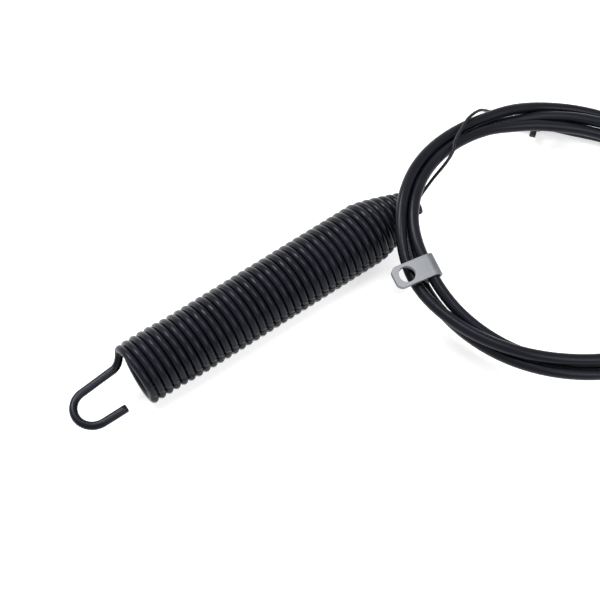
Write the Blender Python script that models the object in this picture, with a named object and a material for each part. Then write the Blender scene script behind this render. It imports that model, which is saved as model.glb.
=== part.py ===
"""Control cable with a large extension spring, lying as it comes to rest, its conduit in three turns.

Metres, +Z up, resting on Z = 0. The origin is the middle of the footprint. The spring lies along the
floor to the left with its open hook outermost. The conduit leans on the spring's cone and runs down
to the floor on the right. It is a jacket over a wound armour and a liner, with one stranded wire in it.
"""

import math

import bmesh
import bpy
from mathutils import Matrix, Vector

# Clearances kept between pieces that touch on the real cable
GAP = 0.0003
LAYER_GAP = 0.00020

# Extension spring: one wire, wound right-handed, with a cone at one end and a hook at the other
SPRING_WIRE_D = 0.0036
SPRING_OD = 0.0290
SPRING_TURNS = 33
SPRING_PITCH = 0.0036
CONE_LENGTH = 0.0266
CONE_TIP_OD = 0.0131
CONE_TURNS = 7.5
CONE_BULGE = 1.25
END_TURNS = 7
END_SHIFT = 0.0006
HOOK_INNER_WIDTH = 0.0129
HOOK_REACH = 0.0311
HOOK_MOUTH = 0.0100
HOOK_OFFSET = -0.0019
HOOK_SHANK_RISE = 0.0013
HOOK_SHANK_START = 0.0068
HOOK_BEND_REACH = 0.0061
HOOK_BEND_TURN = math.radians(45)
HOOK_BEND_STEPS = 6
HOOK_ROLL_START = 0.6
ROLL_LIMIT = 0.6
SLOPE_STEP = 0.01
HOOK_BOW_STEPS = 9
SPRING_SEGMENTS = 12
SPRING_SIDES = 6
CONE_START_X = -0.0359
CONE_START_Y = 0.0081
SPRING_HEADING = math.radians(35.4)

# Stop swaged on the wire's end, inside the cone
STOP_D = 0.0075
STOP_LENGTH = 0.0070

# Inner wire
WIRE_D = 0.0015
WIRE_SPACING = 0.0040
WIRE_STRAIGHT_IN = 0.0016
LEVER_WIRE_START = 0.0040

# Conduit: jacket, armour and liner, from the outside in
CONDUIT_D = 0.0050
JACKET_WALL = 0.00045
ARMOUR_WALL = 0.00040
LINER_WALL = 0.00020
STRAIGHT_START = 0.0106
STRAIGHT_END = 0.0440
START_HEADING = math.radians(163)

# Coil of the conduit: an oval seen from above, turned, leaning down to the right
COIL_X = 0.0517
COIL_Y = 0.0075
COIL_HALF_LENGTH = 0.0698
COIL_HALF_WIDTH = 0.0635
COIL_TURN = 0.188
BED_LEFT_HEIGHT = 0.02275
BED_LEFT_X = -0.0179
BED_RIGHT_X = 0.1262
SPRING_STATION = 281
SPRING_SPREAD = 50
HUMP_HEIGHT = 0.00235
RISE_STATION = 85
RISE_SPREAD = 55
FALL_STATION = 1098
FALL_SPREAD = 52
STATION_STEP = 15
FULL_TURN = 360
LAST_STATION = 1155
HEADING_STEP = 6

# Where each turn runs in the bundle: degrees clockwise from the top of the coil, then how far outside
# the oval and how far above the leaning bed, both in fifths of the conduit's diameter
LANE_UNIT = CONDUIT_D / 5
LANES = (
    (0, 2.9, 1.5), (8, 1.3, 0.7), (15, 0.9, 0.2), (22, 0.9, 0.0), (32, -1.1, 0.0), (47, -4.0, 0.0),
    (62, -4.4, 0.0), (90, -3.8, 0.0), (135, -2.4, 0.0), (160, -1.9, 0.0), (180, -1.6, 0.0),
    (205, -2.5, 0.8), (225, -2.6, 3.4), (247, -2.9, 6.1), (270, -2.1, 5.3), (300, -2.9, 4.9),
    (330, -4.3, 4.3), (342, -5.2, 3.0), (352, -5.7, 2.8), (362, -6.1, 2.8), (372, -5.2, 2.2),
    (385, -3.2, 0.9), (400, 0.2, 0.0), (412, 1.8, 0.0), (450, 2.6, 0.0), (495, 3.3, 0.0),
    (520, 3.4, 0.4), (540, 3.4, 1.4), (565, 2.7, 0.5), (585, 1.6, -0.2), (607, 0.4, -0.8),
    (630, 0.6, 0.5), (650, 1.1, 0.7), (675, 0.9, 0.0), (692, 0.1, -0.2), (704, -0.5, 0.4),
    (712, -0.8, 1.8), (720, -1.1, 3.5), (730, -1.0, 4.8), (745, -0.1, 5.2), (765, 0.4, 5.3),
    (780, -0.2, 5.3), (810, -0.8, 5.2), (855, -0.9, 5.2), (900, -1.3, 5.3), (920, 0.5, 5.9),
    (945, 3.1, 4.8), (967, 4.4, 2.6), (990, 3.2, 5.1), (1010, 2.4, 5.7), (1035, 1.4, 5.4),
    (1052, 1.5, 5.0), (1064, 2.7, 4.7), (1072, 4.2, 3.0), (1080, 5.4, 1.6), (1090, 6.7, 0.5),
    (1105, 7.8, 0.0), (1120, 8.2, 0.2), (1140, 8.8, 0.8), (1155, 9.2, 1.1),
)

# Bare wire between the cone and the conduit: over the bundle and down behind it
WIRE_ROUTE = (
    (-0.0089, 0.0294, 0.0165), (-0.0047, 0.0337, 0.0206), (0.0002, 0.0377, 0.0259), (0.0034, 0.0420, 0.0290),
    (0.0045, 0.0471, 0.0293), (0.0065, 0.0513, 0.0293), (0.0089, 0.0560, 0.0289), (0.0116, 0.0608, 0.0278),
    (0.0149, 0.0654, 0.0255), (0.0182, 0.0697, 0.0218), (0.0212, 0.0733, 0.0169), (0.0240, 0.0763, 0.0121),
    (0.0273, 0.0791, 0.0076),
)

# Moulded end fitting on the spring's side, with two snap ears
FITTING_D = 0.0078
FITTING_LENGTH = 0.0140
FITTING_SOCKET = 0.0080
EAR_SPAN = 0.0166
EAR_WIDTH = 0.0030
EAR_THICKNESS = 0.0020
EAR_FROM_END = 0.0032

# Crimped ferrule on the lever's side, with the barrel on the wire's end
FERRULE_D = 0.0068
FERRULE_LENGTH = 0.0120
FERRULE_NOSE_D = 0.0040
FERRULE_NOSE_LENGTH = 0.0040
FERRULE_SOCKET = 0.0100
BARREL_D = 0.0060
BARREL_LENGTH = 0.0080
BARREL_BORE_DEPTH = 0.0040
LEVER_WIRE_OUT = 0.0260
BARREL_BORE_OVERRUN = 0.0020

# P-clip folded from strip round the conduit
CLIP_STATION = 247.3
STRAP_WIDTH = 0.0100
STRAP_THICKNESS = 0.0010
STRAP_LAYER_GAP = 0.0001
CLIP_CLEARANCE = 0.0006
CLIP_HOLE_D = 0.0070
CLIP_HOLE_FROM_CONDUIT = 0.0108
CLIP_END_FROM_HOLE = 0.0060
CLIP_CORNER = 0.0030
CLIP_CORNER_STEPS = 4
CLIP_CUT_DEPTH = 0.0060
CLIP_ARC_STEPS = 14
CLIP_FOLD_STEPS = 4
CLIP_FOLD_RADIUS = 0.0009

EDGE_BREAK = 0.0005
ROUND_SIDES = 20
TUBE_SIDES = 8
BARE_WIRE_SIDES = 6
HARD_EDGE = math.radians(50)
CONDUIT_RADIUS = CONDUIT_D / 2
FLOOR = CONDUIT_RADIUS
SPRING_AXIS_HEIGHT = SPRING_OD / 2
SPRING_RADIUS = (SPRING_OD - SPRING_WIRE_D) / 2
SPRING_AXIS = Vector((math.cos(SPRING_HEADING), math.sin(SPRING_HEADING), 0.0))
SPRING_ACROSS = Vector((-math.sin(SPRING_HEADING), math.cos(SPRING_HEADING), 0.0))
CONE_START = Vector((CONE_START_X, CONE_START_Y, SPRING_AXIS_HEIGHT))
UP = Vector((0.0, 0.0, 1.0))


def clear_scene():
    for obj in list(bpy.data.objects):
        bpy.data.objects.remove(obj, do_unlink=True)


def make_material(name, color, roughness, metallic=0.0):
    material = bpy.data.materials.new(name)
    material.use_nodes = True
    shader = material.node_tree.nodes["Principled BSDF"]
    shader.inputs["Base Color"].default_value = (*color, 1.0)
    shader.inputs["Roughness"].default_value = roughness
    shader.inputs["Metallic"].default_value = metallic
    return material


def add_object(name, data, material):
    obj = bpy.data.objects.new(name, data)
    bpy.context.scene.collection.objects.link(obj)
    data.materials.append(material)
    return obj


def finish_mesh(name, bm, material, smooth=True):
    """Turn a bmesh into an object whose faces point outwards."""
    bmesh.ops.recalc_face_normals(bm, faces=bm.faces)
    mesh = bpy.data.meshes.new(name)
    bm.to_mesh(mesh)
    bm.free()
    if smooth:
        mesh.shade_smooth()
        mesh.set_sharp_from_angle(angle=HARD_EDGE)
    return add_object(name, mesh, material)


def ease(value):
    value = min(max(value, 0.0), 1.0)
    return value * value * (3.0 - 2.0 * value)


def hermite(keys, at):
    """Smooth value through a table whose rows start with their own position."""
    last = len(keys) - 1
    index = 0
    while index < last - 1 and at > keys[index + 1][0]:
        index += 1

    def slope(i, column):
        low = keys[max(i - 1, 0)]
        high = keys[min(i + 1, last)]
        return (high[column] - low[column]) / (high[0] - low[0])

    start = keys[index]
    stop = keys[index + 1]
    span = stop[0] - start[0]
    t = (at - start[0]) / span
    values = []
    for column in range(1, len(start)):
        value = (2 * t**3 - 3 * t**2 + 1) * start[column] + (3 * t**2 - 2 * t**3) * stop[column]
        value += (t**3 - 2 * t**2 + t) * span * slope(index, column)
        value += (t**3 - t**2) * span * slope(index + 1, column)
        values.append(value)
    return values


def coil_point(degrees):
    """A point on the conduit's middle line, so many degrees clockwise from the top of the first turn."""
    outside, above = (value * LANE_UNIT for value in hermite(LANES, degrees))
    t = math.radians(90.0 - degrees) - COIL_TURN
    cos_turn = math.cos(COIL_TURN)
    sin_turn = math.sin(COIL_TURN)
    along = COIL_HALF_LENGTH * math.cos(t)
    aside = COIL_HALF_WIDTH * math.sin(t)
    normal = Vector((math.cos(t) / COIL_HALF_LENGTH, math.sin(t) / COIL_HALF_WIDTH)).normalized()
    x = COIL_X + cos_turn * along - sin_turn * aside
    x += outside * (cos_turn * normal.x - sin_turn * normal.y)
    y = COIL_Y + sin_turn * along + cos_turn * aside
    y += outside * (sin_turn * normal.x + cos_turn * normal.y)
    lean = (BED_LEFT_HEIGHT - FLOOR) / (BED_RIGHT_X - BED_LEFT_X)
    bed = lean * max(BED_RIGHT_X - x, 0.0)
    rise = ease((degrees - RISE_STATION) / RISE_SPREAD)
    lift = rise * (1.0 - ease((degrees - FALL_STATION) / FALL_SPREAD))
    past_spring = (degrees % FULL_TURN - SPRING_STATION) / SPRING_SPREAD
    hump = HUMP_HEIGHT * ease(1.0 - abs(past_spring))
    return Vector((x, y, FLOOR + bed * lift + hump + above))


def conduit_route():
    """The conduit's middle line, from its end in the moulded fitting to its end in the ferrule."""
    stations = [coil_point(angle) for angle in range(0, LAST_STATION + 1, STATION_STEP)]
    start = stations[0] + fitting_heading() * STRAIGHT_START
    end = stations[-1] + lever_heading() * STRAIGHT_END
    return [start] + stations + [end]


def fitting_heading():
    """Level direction in which the conduit's spring end points out of the coil."""
    return Vector((math.cos(START_HEADING), math.sin(START_HEADING), 0.0))


def lever_heading():
    """Level direction in which the conduit's lever end points."""
    heading = coil_point(LAST_STATION) - coil_point(LAST_STATION - HEADING_STEP)
    heading.z = 0.0
    return heading.normalized()


def curve_object(name, points, radius, sides, material, caps=True):
    """A tube along a line of points, as a curve with a round bevel."""
    curve = bpy.data.curves.new(name, "CURVE")
    curve.dimensions = "3D"
    curve.bevel_depth = radius
    curve.bevel_resolution = (sides - 4) // 2
    curve.use_fill_caps = caps
    curve.twist_mode = "Z_UP"
    spline = curve.splines.new("POLY")
    spline.points.add(len(points) - 1)
    for point, place in zip(spline.points, points):
        point.co = (*place, 1.0)
    return add_object(name, curve, material)


def hollow_tube(name, points, radius, wall, sides, material):
    """An open tube given its wall by Solidify, so both ends show a ring."""
    obj = curve_object(name, points, radius, sides, material, caps=False)
    solidify = obj.modifiers.new("wall", "SOLIDIFY")
    solidify.thickness = wall
    solidify.offset = -1.0
    solidify.use_even_offset = True
    return obj


def place_matrix(origin, axis, side):
    """Local X runs along the axis and local Y to the side."""
    x = axis.normalized()
    z = x.cross(side).normalized()
    y = z.cross(x)
    return Matrix.Translation(origin) @ Matrix((x, y, z)).transposed().to_4x4()


def lathe(name, profile, origin, axis, side, material, segments=ROUND_SIDES):
    """A solid of revolution about its own X from (along, radius) points.

    A profile whose ends are on the axis makes a solid piece, and any other one is closed into a ring.
    """
    bm = bmesh.new()
    line = [bm.verts.new((along, radius, 0.0)) for along, radius in profile]
    edges = [bm.edges.new(pair) for pair in zip(line, line[1:])]
    if profile[0][1] > 0.0:
        edges.append(bm.edges.new((line[-1], line[0])))
    bmesh.ops.spin(bm, geom=line + edges, cent=(0, 0, 0), axis=(1, 0, 0), angle=2 * math.pi,
                   steps=segments, use_merge=True)
    bmesh.ops.remove_doubles(bm, verts=bm.verts, dist=1e-7)
    obj = finish_mesh(name, bm, material)
    obj.matrix_world = place_matrix(origin, axis, side)
    return obj


def box_cutter(name, size, origin, axis, side, material):
    bm = bmesh.new()
    bmesh.ops.create_cube(bm, size=1.0)
    bmesh.ops.scale(bm, vec=size, verts=bm.verts)
    obj = finish_mesh(name, bm, material, smooth=False)
    obj.matrix_world = place_matrix(origin, axis, side)
    obj.hide_render = True
    obj.display_type = "WIRE"
    return obj


def add_boolean(obj, cutter, operation):
    modifier = obj.modifiers.new(cutter.name, "BOOLEAN")
    modifier.operation = operation
    modifier.object = cutter
    modifier.solver = "EXACT"


def spring_frame_point(along, across, height=0.0):
    """A point from distances along the spring from the start of its cone, across it and above its axis."""
    return CONE_START + SPRING_AXIS * along + SPRING_ACROSS * across + UP * height


def spring_centreline():
    """Middle of the wire from the cut end of the hook to the tip of the cone, with outward directions."""
    points = []
    body_length = SPRING_TURNS * SPRING_PITCH
    half_width = (HOOK_INNER_WIDTH + SPRING_WIRE_D) / 2
    bow = -body_length - HOOK_REACH + half_width + SPRING_WIRE_D / 2
    cut_end = -body_length - HOOK_MOUTH
    points.append((cut_end, HOOK_OFFSET - half_width, 0.0))
    for step in range(HOOK_BOW_STEPS + 1):
        angle = -math.pi / 2 - math.pi * step / HOOK_BOW_STEPS
        points.append((bow + half_width * math.cos(angle), HOOK_OFFSET + half_width * math.sin(angle), 0.0))
    shank_side = HOOK_OFFSET + half_width + HOOK_SHANK_RISE
    start = Vector((-body_length - HOOK_SHANK_START, shank_side, 0.0))
    points.append(tuple(start))
    stop = helix_place(HOOK_BEND_TURN / (2 * math.pi))
    stop_slope = helix_place(HOOK_BEND_TURN / (2 * math.pi) + SLOPE_STEP) - stop
    first = start + Vector((HOOK_BEND_REACH, 0.0, 0.0))
    second = stop - stop_slope.normalized() * HOOK_BEND_REACH
    for step in range(1, HOOK_BEND_STEPS):
        t = step / HOOK_BEND_STEPS
        place = start * (1 - t)**3 + first * 3 * t * (1 - t)**2 + second * 3 * t * t * (1 - t) + stop * t**3
        points.append(tuple(place))
    first_step = math.ceil(HOOK_BEND_TURN / (2 * math.pi) * SPRING_SEGMENTS)
    for step in range(first_step, round((SPRING_TURNS + CONE_TURNS) * SPRING_SEGMENTS) + 1):
        points.append(tuple(helix_place(step / SPRING_SEGMENTS)))
    return [spring_frame_point(*point) for point in points]


def helix_place(turn):
    """(along, across, height) of the wire's middle after so many turns from the hook's end.

    The first turns lie a little to one side, where the hook has pulled them over.
    """
    tip_radius = (CONE_TIP_OD - SPRING_WIRE_D) / 2
    share = max(turn - SPRING_TURNS, 0.0) / CONE_TURNS
    if share > 0.0:
        along = CONE_LENGTH * share
    else:
        along = (turn - SPRING_TURNS) * SPRING_PITCH
    radius = SPRING_RADIUS + (tip_radius - SPRING_RADIUS) * share**CONE_BULGE
    shift = END_SHIFT * ease((END_TURNS - turn) * 2 / END_TURNS)
    angle = 2 * math.pi * turn
    return Vector((along, shift + radius * math.cos(angle), radius * math.sin(angle)))


def sweep(name, points, radius, sides, outward, material):
    """A closed wire of round section along points. outward gives each section's first corner."""
    bm = bmesh.new()
    rings = []
    for index, point in enumerate(points):
        before = points[max(index - 1, 0)]
        after = points[min(index + 1, len(points) - 1)]
        tangent = (after - before).normalized()
        first = outward[index] - tangent * outward[index].dot(tangent)
        first.normalize()
        second = tangent.cross(first)
        ring = []
        for side in range(sides):
            angle = 2 * math.pi * side / sides
            corner = first * math.cos(angle) + second * math.sin(angle)
            ring.append(bm.verts.new(point + corner * radius))
        rings.append(ring)
    for low, high in zip(rings, rings[1:]):
        for side in range(sides):
            following = (side + 1) % sides
            bm.faces.new((low[side], low[following], high[following], high[side]))
    bm.faces.new(rings[0])
    bm.faces.new(rings[-1])
    return finish_mesh(name, bm, material)


def build_spring(material):
    points = spring_centreline()
    outward = []
    for point in points:
        from_cone = point - CONE_START
        radial = from_cone - SPRING_AXIS * from_cone.dot(SPRING_AXIS)
        on_hook = from_cone.dot(SPRING_AXIS) < -SPRING_TURNS * SPRING_PITCH - SPRING_WIRE_D * HOOK_ROLL_START
        outward.append(UP.copy() if on_hook else radial)
    for index in range(1, len(outward)):
        turned = outward[index].normalized()
        previous = outward[index - 1].normalized()
        if turned.dot(previous) <= ROLL_LIMIT:
            turned = previous * ROLL_LIMIT + turned * (1.0 - ROLL_LIMIT)
        outward[index] = turned
    return sweep("tension_spring", points, SPRING_WIRE_D / 2, SPRING_SIDES, outward, material)


def stop_front():
    """Distance along the spring to where the stop meets the inside of the cone."""
    tip_radius = (CONE_TIP_OD - SPRING_WIRE_D) / 2
    narrowing = SPRING_RADIUS - SPRING_WIRE_D / 2 - STOP_D / 2 - GAP * 2
    return CONE_LENGTH * (narrowing / (SPRING_RADIUS - tip_radius)) ** (1 / CONE_BULGE)


def build_stop(material):
    bore = WIRE_D / 2 + GAP
    front = stop_front()
    chamfer = EDGE_BREAK
    profile = (
        (front - STOP_LENGTH, bore), (front, bore), (front, STOP_D / 2 - chamfer),
        (front - chamfer, STOP_D / 2),
        (front - STOP_LENGTH + chamfer, STOP_D / 2), (front - STOP_LENGTH, STOP_D / 2 - chamfer),
    )
    return lathe("wire_end_stop", profile, CONE_START, SPRING_AXIS, SPRING_ACROSS, material)


def smooth_through(keys, spacing):
    """Points at an even spacing on a smooth curve through key points."""
    lengths = [0.0]
    for low, high in zip(keys, keys[1:]):
        lengths.append(lengths[-1] + (high - low).length)
    table = [(length, *key) for length, key in zip(lengths, keys)]
    count = max(round(lengths[-1] / spacing), 1)
    return [Vector(hermite(table, lengths[-1] * step / count)) for step in range(count + 1)]


def fitting_mouth():
    """Middle of the moulded fitting's open end, where the bare wire goes in."""
    return conduit_route()[0] + fitting_heading() * (FITTING_LENGTH - FITTING_SOCKET)


def lever_wire_start():
    """Where the sliding end of the wire begins inside the conduit."""
    return conduit_route()[-1] - lever_heading() * (STRAIGHT_END - LEVER_WIRE_START)


def build_inner_wire(material):
    """The wire from its stop over the bundle and through the conduit, up to the part of it that slides."""
    tail = stop_front() - STOP_LENGTH
    tip = CONE_LENGTH + SPRING_WIRE_D / 2
    into_fitting = fitting_mouth() + fitting_heading() * WIRE_STRAIGHT_IN
    keys = [spring_frame_point(tip, 0.0)] + [Vector(place) for place in WIRE_ROUTE] + [into_fitting]
    bare = smooth_through(keys, WIRE_SPACING)
    points = [spring_frame_point(tail, 0.0), *bare, *conduit_route()[1:-1]]
    points.append(lever_wire_start() - lever_heading() * GAP)
    return curve_object("inner_wire", points, WIRE_D / 2, BARE_WIRE_SIDES, material)


def build_conduit(jacket_material, armour_material, liner_material):
    route = conduit_route()
    flat = math.cos(math.pi / TUBE_SIDES)
    jacket_radius = CONDUIT_RADIUS
    armour_radius = jacket_radius - (JACKET_WALL + LAYER_GAP) / flat
    liner_radius = armour_radius - (ARMOUR_WALL + LAYER_GAP) / flat
    hollow_tube("conduit_jacket", route, jacket_radius, JACKET_WALL, TUBE_SIDES, jacket_material)
    hollow_tube("conduit_armour", route, armour_radius, ARMOUR_WALL, TUBE_SIDES, armour_material)
    hollow_tube("conduit_liner", route, liner_radius, LINER_WALL, TUBE_SIDES, liner_material)


def build_fitting(material):
    """Moulded end fitting: a socket for the conduit, a small bore for the wire and two snap ears."""
    socket_end = conduit_route()[0]
    heading = fitting_heading()
    back = socket_end - heading * FITTING_SOCKET
    outer = FITTING_D / 2
    socket = CONDUIT_RADIUS + GAP
    bore = WIRE_D / 2 + GAP
    floor = FITTING_SOCKET + GAP
    chamfer = EDGE_BREAK
    profile = (
        (0.0, socket), (floor, socket), (floor, bore), (FITTING_LENGTH, bore),
        (FITTING_LENGTH, outer - chamfer), (FITTING_LENGTH - chamfer, outer), (chamfer, outer),
        (0.0, outer - chamfer),
    )
    fitting = lathe("spring_end_fitting", profile, back, heading, UP, material)
    ear_length = EAR_SPAN / 2 - (socket + outer) / 2
    for index, sign in enumerate((1.0, -1.0)):
        side = heading.cross(UP) * sign
        middle = back + heading * EAR_FROM_END + side * ((socket + outer) / 2 + ear_length / 2)
        ear = box_cutter(f"ear_shape_{index}", (EAR_WIDTH, ear_length, EAR_THICKNESS), middle, heading,
                         side, material)
        add_boolean(fitting, ear, "UNION")
    return fitting


def build_ferrule(material):
    """Crimped ferrule: a socket on the conduit's lever end, with a nose that the wire leaves through."""
    end = conduit_route()[-1]
    heading = lever_heading()
    back = end - heading * FERRULE_SOCKET
    outer = FERRULE_D / 2
    nose = FERRULE_NOSE_D / 2
    socket = CONDUIT_RADIUS + GAP
    bore = WIRE_D / 2 + GAP
    length = FERRULE_LENGTH + FERRULE_NOSE_LENGTH
    chamfer = EDGE_BREAK
    profile = (
        (0.0, socket), (FERRULE_SOCKET + GAP, socket), (FERRULE_SOCKET + GAP, bore), (length, bore),
        (length, nose - chamfer), (length - chamfer, nose), (FERRULE_LENGTH, nose),
        (FERRULE_LENGTH, outer - chamfer), (FERRULE_LENGTH - chamfer, outer), (chamfer, outer),
        (0.0, outer - chamfer),
    )
    return lathe("lever_end_ferrule", profile, back, heading, UP, material)


def ferrule_front():
    return conduit_route()[-1] + lever_heading() * (FERRULE_LENGTH + FERRULE_NOSE_LENGTH - FERRULE_SOCKET)


def build_lever_end(wire_material, barrel_material):
    """The end of the wire that slides out of the ferrule, with the barrel on it."""
    heading = lever_heading()
    across = heading.cross(UP)
    barrel_middle = ferrule_front() + heading * LEVER_WIRE_OUT
    wire_end = barrel_middle + heading * (BARREL_BORE_DEPTH - BARREL_D / 2 - GAP)
    curve_object("inner_wire_lever_end", [lever_wire_start(), wire_end], WIRE_D / 2, TUBE_SIDES,
                 wire_material)
    radius = BARREL_D / 2
    half = BARREL_LENGTH / 2
    chamfer = EDGE_BREAK
    profile = ((-half, 0.0), (-half, radius - chamfer), (-half + chamfer, radius), (half - chamfer, radius),
               (half, radius - chamfer), (half, 0.0))
    barrel = lathe("wire_end_barrel", profile, barrel_middle, across, UP, barrel_material)
    cut_length = BARREL_BORE_DEPTH + BARREL_BORE_OVERRUN
    cut_middle = barrel_middle + heading * (BARREL_BORE_DEPTH - radius - cut_length / 2)
    bore = round_cutter("barrel_bore", WIRE_D / 2 + GAP, cut_length, cut_middle, heading, UP,
                        barrel_material)
    add_boolean(barrel, bore, "DIFFERENCE")
    return barrel


def round_cutter(name, radius, length, origin, axis, side, material):
    bm = bmesh.new()
    bmesh.ops.create_cone(bm, cap_ends=True, segments=ROUND_SIDES, radius1=radius, radius2=radius,
                          depth=length)
    bmesh.ops.rotate(bm, cent=(0, 0, 0), matrix=Matrix.Rotation(math.pi / 2, 3, "Y"), verts=bm.verts)
    obj = finish_mesh(name, bm, material, smooth=False)
    obj.matrix_world = place_matrix(origin, axis, side)
    obj.hide_render = True
    obj.display_type = "WIRE"
    return obj


def clip_frame():
    """Middle of the clip on the conduit, the conduit's direction there, the way outwards and the way up."""
    before = coil_point(CLIP_STATION - STATION_STEP / 2)
    after = coil_point(CLIP_STATION + STATION_STEP / 2)
    along = (before - after).normalized()
    middle = ((before + after) / 2 + coil_point(CLIP_STATION)) / 2
    outward = along.cross(UP).normalized()
    up = outward.cross(along)
    return middle, along, outward, up


def build_clip(material):
    """Strip folded round the conduit, its two ends laid together over the next turn and pierced."""
    middle, along, outward, up = clip_frame()
    inner = CONDUIT_RADIUS + CLIP_CLEARANCE
    half_strip = STRAP_THICKNESS / 2
    mean = inner + half_strip
    tab_end = CLIP_HOLE_FROM_CONDUIT + CLIP_END_FROM_HOLE
    lower_height = mean - STRAP_THICKNESS - STRAP_LAYER_GAP
    bend = CLIP_FOLD_RADIUS
    path = [(tab_end, mean), (0.0, mean)]
    close_angle = math.asin((lower_height - bend) / (mean + bend))
    for step in range(1, CLIP_ARC_STEPS + 1):
        angle = math.pi / 2 + (3 * math.pi / 2 + close_angle) * step / CLIP_ARC_STEPS
        path.append((mean * math.cos(angle), mean * math.sin(angle)))
    centre = ((mean + bend) * math.cos(close_angle), (mean + bend) * math.sin(close_angle))
    sweep_angle = math.pi / 2 + close_angle
    for step in range(1, CLIP_FOLD_STEPS + 1):
        angle = math.pi + close_angle - sweep_angle * step / CLIP_FOLD_STEPS
        path.append((centre[0] + bend * math.cos(angle), centre[1] + bend * math.sin(angle)))
    path.append((tab_end, path[-1][1]))
    bm = bmesh.new()
    rings = []
    for index, (x, z) in enumerate(path):
        before = Vector(path[max(index - 1, 0)])
        after = Vector(path[min(index + 1, len(path) - 1)])
        tangent = (after - before).normalized()
        normal = Vector((-tangent.y, tangent.x)) * half_strip
        ring = []
        for side, edge in ((1, 1), (1, -1), (-1, -1), (-1, 1)):
            ring.append(bm.verts.new((x + normal.x * side, edge * STRAP_WIDTH / 2, z + normal.y * side)))
        rings.append(ring)
    for low, high in zip(rings, rings[1:]):
        for side in range(4):
            following = (side + 1) % 4
            bm.faces.new((low[side], low[following], high[following], high[side]))
    bm.faces.new(rings[0])
    bm.faces.new(rings[-1])
    bm.edges.ensure_lookup_table()
    corners = [edge for edge in bm.edges
               if all(abs(vert.co.x - tab_end) < 1e-6 for vert in edge.verts)
               and abs(edge.verts[0].co.y - edge.verts[1].co.y) < 1e-6]
    bmesh.ops.bevel(bm, geom=corners, offset=CLIP_CORNER, offset_type="OFFSET", segments=CLIP_CORNER_STEPS, profile=0.5,
                    affect="EDGES", material=-1)
    clip = finish_mesh("p_clip", bm, material)
    clip.matrix_world = Matrix.Translation(middle) @ Matrix((outward, along, up)).transposed().to_4x4()
    hole_middle = middle + outward * CLIP_HOLE_FROM_CONDUIT + up * mean
    hole = round_cutter("clip_hole", CLIP_HOLE_D / 2, CLIP_CUT_DEPTH, hole_middle, up, along, material)
    add_boolean(clip, hole, "DIFFERENCE")
    return clip


def main():
    clear_scene()
    spring_steel = make_material("black_spring_steel", (0.022, 0.023, 0.026), 0.42, 0.6)
    jacket = make_material("black_jacket_plastic", (0.016, 0.017, 0.019), 0.38)
    armour = make_material("wound_armour_steel", (0.30, 0.31, 0.33), 0.40, 1.0)
    liner = make_material("white_liner_plastic", (0.75, 0.75, 0.72), 0.45)
    wire = make_material("stranded_wire_steel", (0.10, 0.10, 0.11), 0.38, 0.8)
    moulding = make_material("black_moulded_plastic", (0.02, 0.02, 0.022), 0.5)
    zinc = make_material("zinc_plated_steel", (0.55, 0.57, 0.60), 0.38, 1.0)
    build_spring(spring_steel)
    build_stop(zinc)
    build_inner_wire(wire)
    build_conduit(jacket, armour, liner)
    build_fitting(moulding)
    build_ferrule(zinc)
    build_lever_end(wire, zinc)
    build_clip(zinc)


main()
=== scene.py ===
import math

import bmesh
import bpy
from bpy.props import FloatProperty, FloatVectorProperty, IntProperty, PointerProperty
from mathutils import Matrix, Vector


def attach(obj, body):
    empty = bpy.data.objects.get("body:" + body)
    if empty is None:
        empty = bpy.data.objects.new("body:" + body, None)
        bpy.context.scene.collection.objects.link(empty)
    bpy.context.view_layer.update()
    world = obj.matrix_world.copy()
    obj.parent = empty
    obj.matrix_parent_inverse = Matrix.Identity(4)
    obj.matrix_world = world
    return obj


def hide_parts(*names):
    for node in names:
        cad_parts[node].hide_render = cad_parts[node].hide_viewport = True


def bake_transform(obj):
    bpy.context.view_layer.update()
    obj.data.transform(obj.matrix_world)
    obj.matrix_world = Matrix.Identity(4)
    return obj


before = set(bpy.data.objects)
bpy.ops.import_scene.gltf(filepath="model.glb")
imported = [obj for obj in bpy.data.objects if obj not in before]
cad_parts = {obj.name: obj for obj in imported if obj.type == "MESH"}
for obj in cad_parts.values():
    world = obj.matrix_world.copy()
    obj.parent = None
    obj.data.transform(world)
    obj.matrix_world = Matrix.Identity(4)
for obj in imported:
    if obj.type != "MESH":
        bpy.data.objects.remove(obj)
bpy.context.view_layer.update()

bl_info = {
    "name": "Mower Control Cable",
    "version": (1, 0, 0),
    "blender": (4, 5, 0),
    "location": "3D View > Sidebar > Control Cable",
    "description": "Builds the pieces of a coiled control cable with its spring, clip and end fittings",
    "category": "Add Mesh",
}

UP = Vector((0.0, 0.0, 1.0))

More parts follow.
